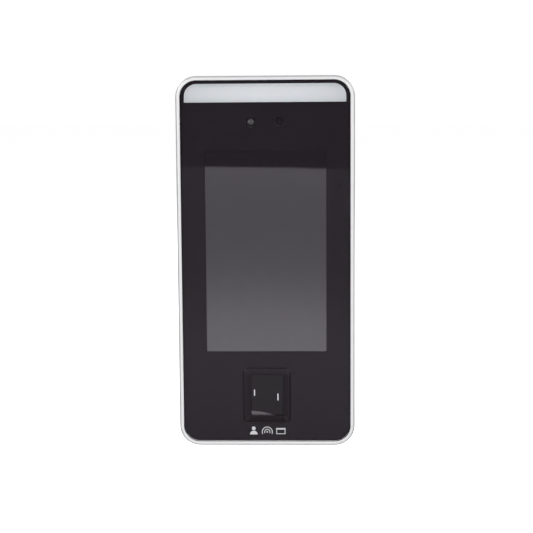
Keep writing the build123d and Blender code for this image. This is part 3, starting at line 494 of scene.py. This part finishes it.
def cast_resin(name, colour, roughness=0.35):
    """The resin of a lamp's package, a little cloudy."""
    s = Shader(name)
    cast = s.noise(0.5 * MM, 3)
    s.set(Base_Color=s.mix(cast, shade(colour, 0.86), colour), Roughness=roughness)
    s.bump(cast, 0.01 * MM)
    return s.material


def paper_cone(name):
    """The speaker's black paper, with its fibres showing."""
    s = Shader(name)
    fibre = s.noise(0.25 * MM, 5)
    s.set(
        Base_Color=s.mix(fibre, (0.02, 0.02, 0.022), (0.07, 0.07, 0.075)),
        Roughness=s.spread(fibre, 0.7, 0.9),
        Sheen_Weight=0.3,
    )
    s.bump(fibre, 0.03 * MM)
    return s.material


def printed_mark(name, colour, light=0.0):
    """A screen-printed mark, or a strip with a painted glow where light is given, a little uneven at
    the scale of the screen's mesh.
    """
    s = Shader(name)
    mesh = s.noise(0.2 * MM, 2)
    s.set(Base_Color=s.mix(mesh, shade(colour, 0.9), colour), Roughness=0.55)
    # painted glow: emission on a mark that is no lamp
    if light:
        s.set(Emission_Color=colour, Emission_Strength=light)
    return unsampled(s)


MATERIALS = {
    "plate_steel": sheet_metal("zinc_plated_sheet", (0.60, 0.61, 0.62), 0.42, spangle=2.4 * MM),
    "screw_steel": sheet_metal("nickel_screw", (0.58, 0.57, 0.56), 0.28, 0.08 * MM, 3),
    "frame_silver": silver_paint("silver_paint"),
    "cover_plastic": moulded_plastic("dark_cover", (0.036, 0.037, 0.040), 0.5, 0.32 * MM, 0.03 * MM),
    "brass_insert": sheet_metal("brass", (0.72, 0.52, 0.22), 0.3, 0.1 * MM, 2),
    "cover_glass": clear_pane("cover_glass", (0.985, 0.99, 0.99)),
    "black_print": black_print("black_print"),
    "black_foam": open_foam("black_foam"),
    "touch_film": clear_pane("touch_film", (0.99, 0.99, 0.99), ior=1.05),
    "tray_steel": sheet_metal("pressed_tray", (0.60, 0.61, 0.62), 0.3),
    "white_plastic": moulded_plastic(
        "white_reflector", (0.80, 0.80, 0.79), 0.45, 0.4 * MM, 0.01 * MM, mottle=0.03
    ),
    "lcd_panel": display_face("display_face"),
    "flex_amber": flex_film("flex_film"),
    "milky_diffuser": milky_plastic("milky_diffuser"),
    "board_white": circuit_board(
        "white_board", (0.70, 0.71, 0.70), (0.78, 0.79, 0.78), (0.70, 0.66, 0.50)
    ),
    "led_package": cast_resin("led_package", (0.86, 0.74, 0.30)),
    "board_black": circuit_board(
        "black_board", (0.010, 0.011, 0.012), (0.022, 0.023, 0.025), (0.60, 0.50, 0.30)
    ),
    "black_plastic": moulded_plastic(
        "black_plastic", (0.018, 0.018, 0.019), 0.45, 0.25 * MM, 0.015 * MM
    ),
    "lens_barrel": moulded_plastic(
        "lens_barrel", (0.013, 0.010, 0.013), 0.5, 0.15 * MM, 0.012 * MM, gloss=0.3
    ),
    "lens_glass": coated_lens(
        "color_lens", "color_camera_lens", (0.042, 0.034, 0.030), (0.085, 0.080, 0.085), 0.22, 0.2
    ),
    "dark_lens_glass": coated_lens(
        "infrared_lens", "infrared_camera_lens", (0.014, 0.010, 0.014), (0.018, 0.013, 0.018), 0.03, 0.4
    ),
    "dark_led": cast_resin("dark_led", (0.02, 0.016, 0.024), 0.15),
    "bezel_plastic": sensor_surround("sensor_surround"),
    "prism_glass": clear_pane("prism_glass", (0.50, 0.48, 0.50), 1.45, 0.02),
    "board_green": circuit_board(
        "green_board", (0.006, 0.075, 0.032), (0.015, 0.140, 0.060), (0.72, 0.66, 0.50)
    ),
    "chip_black": moulded_plastic("chip_resin", (0.022, 0.022, 0.023), 0.5, 0.12 * MM, 0.006 * MM),
    "shield_tin": sheet_metal("tinned_sheet", (0.72, 0.72, 0.70), 0.25),
    "capacitor_can": sheet_metal("aluminium_can", (0.80, 0.80, 0.81), 0.22, 0.1 * MM, 8),
    "relay_blue": moulded_plastic("relay_case", (0.02, 0.08, 0.33), 0.3, 0.5 * MM, 0.006 * MM),
    "battery_steel": sheet_metal("battery_cell", (0.74, 0.74, 0.75), 0.2),
    "gold_contact": sheet_metal("gold_contact", (0.85, 0.62, 0.25), 0.2, 0.1 * MM, 4),
    "header_white": moulded_plastic(
        "nylon_header", (0.72, 0.70, 0.62), 0.4, 0.5 * MM, 0.012 * MM, mottle=0.05
    ),
    "tinned_pin": sheet_metal("tinned_pin", (0.76, 0.76, 0.75), 0.22, 0.1 * MM, 6),
    "usb_steel": sheet_metal("socket_shell", (0.70, 0.70, 0.71), 0.24),
    "cone_paper": paper_cone("cone_paper"),
    "black_rubber": moulded_plastic("black_rubber", (0.006, 0.006, 0.006), 0.75, 0.4 * MM, 0.02 * MM),
    "plunger_plastic": moulded_plastic(
        "acetal", (0.62, 0.62, 0.60), 0.35, 0.6 * MM, 0.006 * MM, mottle=0.04
    ),
}

SLOT_OF = {part["node"]: part["material_slot"] for part in frame["record"]["subparts"]}
for name, obj in frame["nodes"].items():
    for slot in obj.material_slots:
        slot.material = MATERIALS[SLOT_OF[name]]


# ---------------------------------------------------------------- pieces
def add_piece(name, bm, body, slot, *materials):
    """Turns the mesh into a piece that rides on a body."""
    bmesh.ops.recalc_face_normals(bm, faces=bm.faces)
    mesh = bpy.data.meshes.new(name)
    bm.to_mesh(mesh)
    bm.free()
    for material in materials:
        mesh.materials.append(material)
    piece = bpy.data.objects.new(name, mesh)
    bpy.context.scene.collection.objects.link(piece)
    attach(piece, body)


def add_block(bm, low, high, bevel, index=0):
    """A box with softened edges, in one material of the mesh."""
    made = bmesh.ops.create_cube(bm, size=1.0)
    size, middle = Vector(high) - Vector(low), (Vector(high) + Vector(low)) / 2
    for vertex in made["verts"]:
        vertex.co = Vector(a * b for a, b in zip(vertex.co, size)) + middle
    faces = dict.fromkeys(face for vertex in made["verts"] for face in vertex.link_faces)
    edges = dict.fromkeys(edge for face in faces for edge in face.edges)
    done = bmesh.ops.bevel(
        bm, geom=list(edges), offset=bevel, segments=2, affect="EDGES", profile=0.5
    )
    for face in [face for face in faces if face.is_valid] + done["faces"]:
        face.material_index = index


def add_plate(bm, points, low, high):
    """A flat plate from an outline of (x, z) points in metres, from y = low to y = high."""
    base = [bm.verts.new((x, low, z)) for x, z in points]
    top = [bm.verts.new((x, high, z)) for x, z in points]
    bm.faces.new(base)
    bm.faces.new(list(reversed(top)))
    for i in range(len(points)):
        j = (i + 1) % len(points)
        bm.faces.new((base[i], top[i], top[j], base[j]))


def arc(centre, radius, start, end, steps=28):
    """Points along an arc, with angles in degrees."""
    turns = [math.radians(start + (end - start) * i / steps) for i in range(steps + 1)]
    return [(centre[0] + radius * math.cos(t), centre[1] + radius * math.sin(t)) for t in turns]


def circle(centre, radius, count=24):
    """That many points round a circle."""
    return arc(centre, radius, 0, 360 - 360 / count, count - 1)


def rectangle(low, high):
    """The four corners of a rectangle, from its lower left and upper right ones."""
    return [low, (high[0], low[1]), high, (low[0], high[1])]


def add_border(bm, low, high, line, head, near, far):
    """A rectangle's outline: four bars as wide as line, but for the upper one, which is head."""
    (left, bottom), (right, top) = low, high
    for start, end in (
        ((left, bottom), (right, bottom + line)),
        ((left, top - head), (right, top)),
        ((left, bottom + line), (left + line, top - head)),
        ((right - line, bottom + line), (right, top - head)),
    ):
        add_plate(bm, rectangle(start, end), near, far)


def reader_icons():
    """Three generic icons printed behind the glass: a person, curved ridges and a card."""
    bm = bmesh.new()
    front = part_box("ink_border")[0].y
    faces = (front - 0.004 * MM, front - 0.012 * MM)
    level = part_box("sensor_bezel")[0].z - ICON_DROP

    add_plate(bm, circle((-ICON_PITCH, level + 1.1 * MM), 1.05 * MM), *faces)
    add_plate(bm, arc((-ICON_PITCH, level - 2.3 * MM), 2.1 * MM, 0, 180), *faces)

    middle = (0.0, level - 0.9 * MM)
    add_plate(bm, circle(middle, ICON_LINE), *faces)
    for radius in (1.45 * MM, 2.75 * MM):
        outer = arc(middle, radius + ICON_LINE / 2, -25, 205)
        inner = arc(middle, radius - ICON_LINE / 2, 205, -25)
        add_plate(bm, outer + inner, *faces)

    low = (ICON_PITCH - 2.5 * MM, level - 2.1 * MM)
    high = (ICON_PITCH + 2.5 * MM, level + 1.28 * MM)
    add_border(bm, low, high, ICON_LINE, 2 * ICON_LINE, *faces)
    white = printed_mark("icon_print", (0.66, 0.66, 0.66))
    add_piece("reader_icons", bm, "terminal", "header_white", white)


def microphone_gauze():
    """A dot of black acoustic mesh over the microphone's hole in the glass."""
    bm = bmesh.new()
    low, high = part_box("microphone_boot")
    centre = (low.x + MIC_INSET, (low.z + high.z) / 2)
    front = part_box("cover_glass")[0].y
    outline = circle(centre, GAUZE_RADIUS, 36)
    add_plate(bm, outline, front - 0.025 * MM, front - 0.005 * MM)
    gauze = moulded_plastic(
        "acoustic_mesh", (0.004, 0.003, 0.004), 0.9, 0.12 * MM, 0.02 * MM, gloss=0.02
    )
    add_piece("microphone_gauze", bm, "terminal", "black_rubber", gauze)


def sensor_slits_painted_glow():
    """Two pale slits with a painted glow, which show inside the fingerprint window."""
    bm = bmesh.new()
    low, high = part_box("sensor_prism")
    near, middle = low.y + WINDOW_DEPTH, (low.z + high.z) / 2
    for slit in SLITS_MM:
        across, foot, head = (value * MM for value in slit)
        start = (across - SLIT_WIDTH / 2, near, middle + foot)
        end = (across + SLIT_WIDTH / 2, near + 0.2 * MM, middle + head)
        add_block(bm, start, end, 0.05 * MM)
    lit = printed_mark("slit_painted_glow", (0.86, 0.87, 0.87), 0.8)
    add_piece("sensor_slits_painted_glow", bm, "terminal", "white_plastic", lit)


def sensor_lower_facet():
    """The pale facet at the foot of the fingerprint window."""
    bm = bmesh.new()
    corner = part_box("sensor_prism")[0]
    near = corner.y + WINDOW_DEPTH
    outline = [(corner.x + x * MM, corner.z + z * MM) for x, z in FACET_MM]
    add_plate(bm, outline, near + 0.05 * MM, near)
    grey = printed_mark("lower_facet", (0.33, 0.315, 0.325))
    add_piece("sensor_lower_facet", bm, "terminal", "white_plastic", grey)


def sensor_absorber():
    """The dark sheet behind the slits and the facet."""
    bm = bmesh.new()
    low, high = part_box("sensor_prism")
    near = low.y + WINDOW_DEPTH + 0.4 * MM
    add_plate(bm, rectangle((low.x, low.z), (high.x, high.z)), near + 0.1 * MM, near)
    absorber = moulded_plastic("absorber", (0.017, 0.0128, 0.017), 0.7, 0.3 * MM, 0.002 * MM)
    add_piece("sensor_absorber", bm, "terminal", "black_foam", absorber)


def silkscreen():
    """White outlines that the board's print draws round the connectors."""
    bm = bmesh.new()
    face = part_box("main_board")[1].y
    faces = (face, face + PRINT_THICK)
    for low, high in connector_boxes():
        left, top = low.x - PRINT_MARGIN, high.z + PRINT_MARGIN
        right, bottom = high.x + PRINT_MARGIN, low.z - PRINT_MARGIN
        add_border(bm, (left, bottom), (right, top), PRINT_LINE, PRINT_LINE, *faces)
        x = left - PRINT_MARGIN
        add_plate(bm, [(x, top), (x - PRINT_MARK, top), (x, top - PRINT_MARK)], *faces)
    ink = printed_mark("ink", (0.78, 0.78, 0.76))
    add_piece("silkscreen", bm, "terminal", "header_white", ink)


def connector_boxes():
    """The corners of the jack and of each wiring header on the board's rear."""
    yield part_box("network_jack")
    points = sorted(
        (vertex.co for vertex in frame["nodes"]["wiring_headers"].data.vertices),
        key=lambda point: point.z,
    )
    rows = [[points[0]]]
    for before, point in zip(points, points[1:]):
        if point.z - before.z > ROW_GAP:
            rows.append([])
        rows[-1].append(point)
    for row in rows:
        low = Vector(min(point[i] for point in row) for i in range(3))
        high = Vector(max(point[i] for point in row) for i in range(3))
        yield low, high


def small_parts():
    """Chip resistors and capacitors in the free part of the cable bay."""
    bm = bmesh.new()
    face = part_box("main_board")[1].y
    cap, edge = Vector((CHIP_CAP, 0, 0)), Vector((0, 0.02 * MM, 0.02 * MM))
    tinned = len(CHIP_SIZES_MM)  # the ends' material comes after those of the kinds
    for x, z, count, kind in CHIP_ROWS_MM:
        long, wide, tall = CHIP_SIZES_MM[kind]
        for step in range(count):
            middle = z - step * CHIP_PITCH_MM
            low = Vector(((x - long / 2) * MM, face, (middle - wide / 2) * MM))
            high = Vector(((x + long / 2) * MM, face + tall * MM, (middle + wide / 2) * MM))
            add_block(bm, low + cap, high - cap - edge, 0.04 * MM, kind)
            add_block(bm, low, (low.x + cap.x, high.y, high.z), 0.06 * MM, tinned)
            add_block(bm, (high.x - cap.x, low.y, low.z), high, 0.06 * MM, tinned)
    resistor = moulded_plastic("resistor_body", (0.02, 0.02, 0.022), 0.35, 0.2 * MM, 0.004 * MM)
    ceramic = moulded_plastic("capacitor_body", (0.36, 0.24, 0.14), 0.4, 0.2 * MM, 0.004 * MM)
    tin = MATERIALS["tinned_pin"]
    add_piece("bay_small_parts", bm, "terminal", "chip_black", resistor, ceramic, tin)


def test_pads():
    """Round gold pads in rows beside the headers."""
    bm = bmesh.new()
    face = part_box("main_board")[1].y
    for x, z, count in PAD_ROWS_MM:
        for step in range(count):
            centre = ((x + step * PAD_PITCH_MM) * MM, z * MM)
            add_plate(bm, circle(centre, PAD_RADIUS), face, face + 0.02 * MM)
    add_piece("test_pads", bm, "terminal", "gold_contact", MATERIALS["gold_contact"])


reader_icons()
microphone_gauze()
sensor_slits_painted_glow()
sensor_lower_facet()
sensor_absorber()
silkscreen()
small_parts()
test_pads()


# ---------------------------------------------------------------- smooth shading
def smooth(obj, degrees=35.0):
    """Rounded faces shade as round, and corners over the angle stay crisp."""
    for polygon in obj.data.polygons:
        polygon.use_smooth = True
    obj.data.set_sharp_from_angle(angle=math.radians(degrees))


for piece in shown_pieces():
    smooth(piece)


# ---------------------------------------------------------------- stage, lights and camera
def add_sheet(name, corners, shader):
    """A flat sheet of the stage, whose own glow isn't sampled as a lamp and which casts no shadow."""
    mesh = bpy.data.meshes.new(name)
    mesh.from_pydata(corners, [], [(0, 1, 2, 3)])
    mesh.materials.append(unsampled(shader))
    sheet = bpy.data.objects.new(name, mesh)
    bpy.context.scene.collection.objects.link(sheet)
    sheet.visible_diffuse = False
    sheet.visible_shadow = False
    return sheet


def make_floor():
    """Plain pale floor under the object, with a light of its own so that it stays pale."""
    half, level = FLOOR_HALF, cad_low.z - FLOOR_DROP
    corners = [(-half, -half, level), (half, -half, level), (half, half, level), (-half, half, level)]
    s = Shader("pale_floor")
    s.set(Base_Color=(0.9, 0.9, 0.9), Roughness=0.9, Specular_IOR_Level=0.1)
    s.set(Emission_Color=(1.0, 1.0, 1.0), Emission_Strength=0.8)
    floor = add_sheet("floor", corners, s)
    floor.visible_glossy = False
    floor.visible_transmission = False


def make_world():
    """White backdrop for the camera and softer, greyer light for everything else."""
    world = bpy.data.worlds.new("studio")
    bpy.context.scene.world = world
    world.use_nodes = True
    nodes, links = world.node_tree.nodes, world.node_tree.links
    path = nodes.new("ShaderNodeLightPath")
    seen = nodes.new("ShaderNodeBackground")
    lit = nodes["Background"]
    seen.inputs["Color"].default_value = (1.0, 1.0, 1.0, 1.0)
    seen.inputs["Strength"].default_value = 1.0
    lit.inputs["Color"].default_value = (0.98, 0.97, 1.0, 1.0)
    lit.inputs["Strength"].default_value = 0.22
    mix = nodes.new("ShaderNodeMixShader")
    links.new(path.outputs["Is Camera Ray"], mix.inputs[0])
    links.new(lit.outputs[0], mix.inputs[1])
    links.new(seen.outputs[0], mix.inputs[2])
    links.new(mix.outputs[0], nodes["World Output"].inputs["Surface"])


def add_softbox(name, place, power, width, height):
    """A rectangular lamp that points at the object's middle and isn't seen itself."""
    light = bpy.data.lights.new(name, "AREA")
    light.shape = "RECTANGLE"
    light.size, light.size_y = width, height
    light.energy = power
    lamp = bpy.data.objects.new(name, light)
    bpy.context.scene.collection.objects.link(lamp)
    lamp.rotation_euler = (-Vector(place)).to_track_quat("-Z", "Y").to_euler()
    lamp.location = place
    lamp.visible_camera = False


def make_reflection_card():
    """What the glass mirrors: a dark room over a grey glow, which is brightest below its middle."""
    corners = [
        (-CARD_HALF, CARD_Y, CARD_FOOT),
        (CARD_HALF, CARD_Y, CARD_FOOT),
        (CARD_HALF, CARD_Y, CARD_HEAD),
        (-CARD_HALF, CARD_Y, CARD_HEAD),
    ]
    s = Shader("card_light")
    place = s.place()
    wave = s.spread(s.noise(90 * MM, 2), -0.002, 0.002)
    level = s.math("ADD", place["Z"], s.math("MULTIPLY", place["X"], CARD_SLOPE))
    height = s.math("ADD", level, wave)
    lit = s.spread(height, 1.0, 0.0, CARD_TOP - CARD_EDGE, CARD_TOP + CARD_EDGE)
    depth = s.spread(height, 0.0, 1.0, CARD_TOP, CARD_TOP - CARD_FADE)
    strength = s.ramp(depth, (0.0, 0.208), (0.33, 0.203), (0.62, 0.37), (0.78, 0.37), (1.0, 0.27))
    shining = s.math("ADD", s.math("MULTIPLY", strength, lit), CARD_DARK)
    glow = s.add("ShaderNodeEmission", {"Color": (0.97, 0.92, 1.02, 1.0), "Strength": shining})
    s.tree.links.new(glow.outputs[0], s.output.inputs["Surface"])
    card = add_sheet("reflection_card", corners, s)
    card.visible_camera = False


def make_camera():
    """The photograph's viewpoint: a little above the object and to its right."""
    data = bpy.data.cameras.new("camera")
    data.lens, data.sensor_width = CAMERA_LENS, CAMERA_SENSOR
    camera = bpy.data.objects.new("camera", data)
    bpy.context.scene.collection.objects.link(camera)
    camera.location = CAMERA_PLACE
    camera.rotation_euler = Euler([math.radians(angle) for angle in CAMERA_TURN])
    bpy.context.scene.camera = camera


make_floor()
make_world()
for softbox in SOFTBOXES:
    add_softbox(*softbox)
make_reflection_card()
make_camera()
bpy.context.scene.view_settings.view_transform = "Standard"
